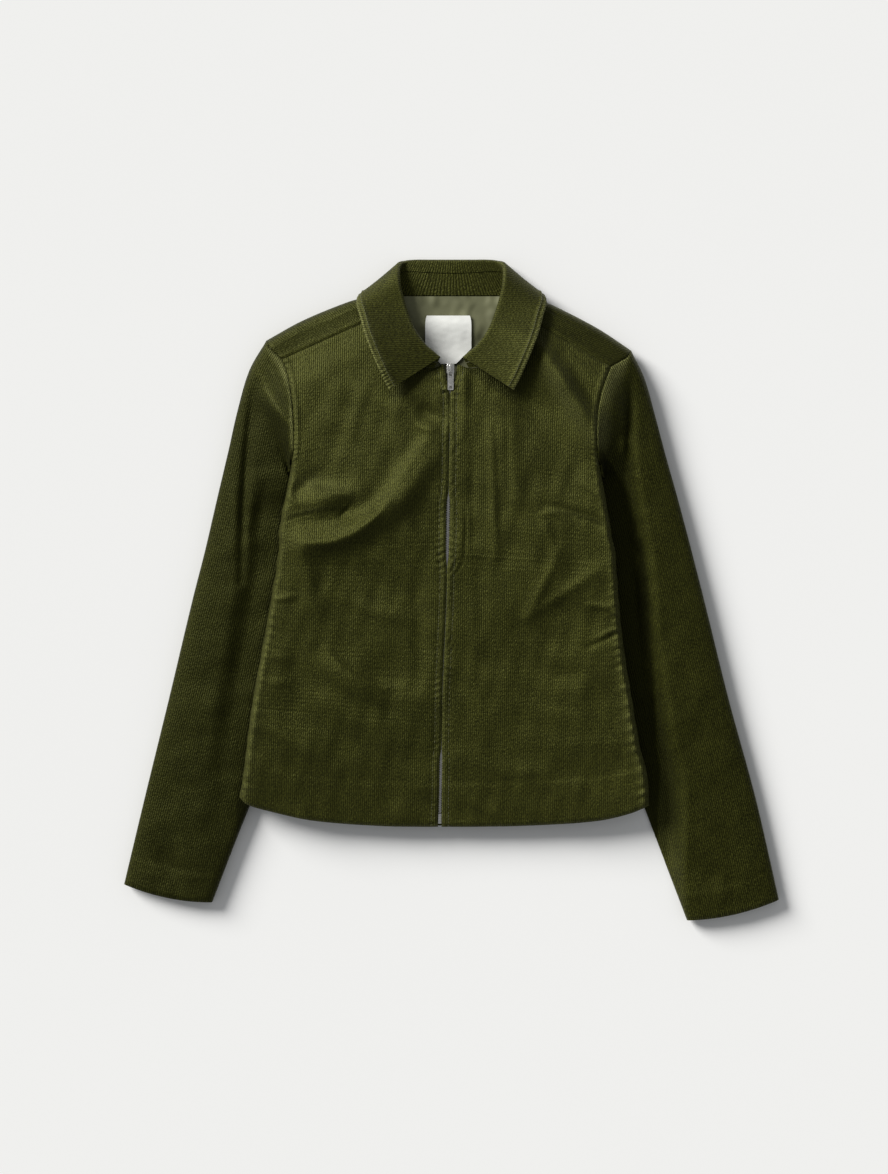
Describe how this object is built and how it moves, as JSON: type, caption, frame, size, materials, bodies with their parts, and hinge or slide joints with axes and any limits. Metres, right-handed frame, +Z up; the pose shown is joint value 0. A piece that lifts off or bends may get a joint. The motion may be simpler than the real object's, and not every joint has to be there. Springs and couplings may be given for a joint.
{
  "type": "corduroy jacket",
  "caption": "Cropped corduroy jacket with a zip front and shirt collar, laid flat on its back with its sleeves under the body.",
  "frame": {"origin": "centre of the jacket's box in plan, on the surface that it lies on", "axes": "+Z up from the surface, +Y towards the collar, +X towards the wearer's left sleeve"},
  "size_m": [0.723, 0.728, 0.0395],
  "materials": {
    "corduroy": "fine-wale cotton corduroy, dark olive, 11 wales to the inch, soft nap",
    "lining": "smooth plain-woven lining, light olive, slight sheen",
    "label": "blank off-white woven label, matt",
    "zip_tape": "woven zip tape, dark olive, matt",
    "zip_metal": "polished nickel-plated metal"
  },
  "bodies": {
    "jacket": {"front_right": "corduroy", "front_left": "corduroy", "back": "corduroy", "sleeve_right_front": "corduroy", "sleeve_right_under": "corduroy", "sleeve_left_front": "corduroy", "sleeve_left_under": "corduroy", "collar_stand": "corduroy", "collar_leaf": "corduroy", "back_lining": "lining", "label": "label", "zip_tape_right": "zip_tape", "zip_tape_left": "zip_tape", "zip_chain": "zip_metal", "zip_slider": "zip_metal", "zip_box": "zip_metal"},
    "pull": {"zip_pull": "zip_metal"}
  },
  "joints": [
    {"name": "pull_hinge", "type": "hinge", "parent": "jacket", "child": "pull", "pos_m": [-0.00106, 0.243, 0.03291], "axis": [-1, 0, 0], "range_deg": [0, 150]}
  ]
}
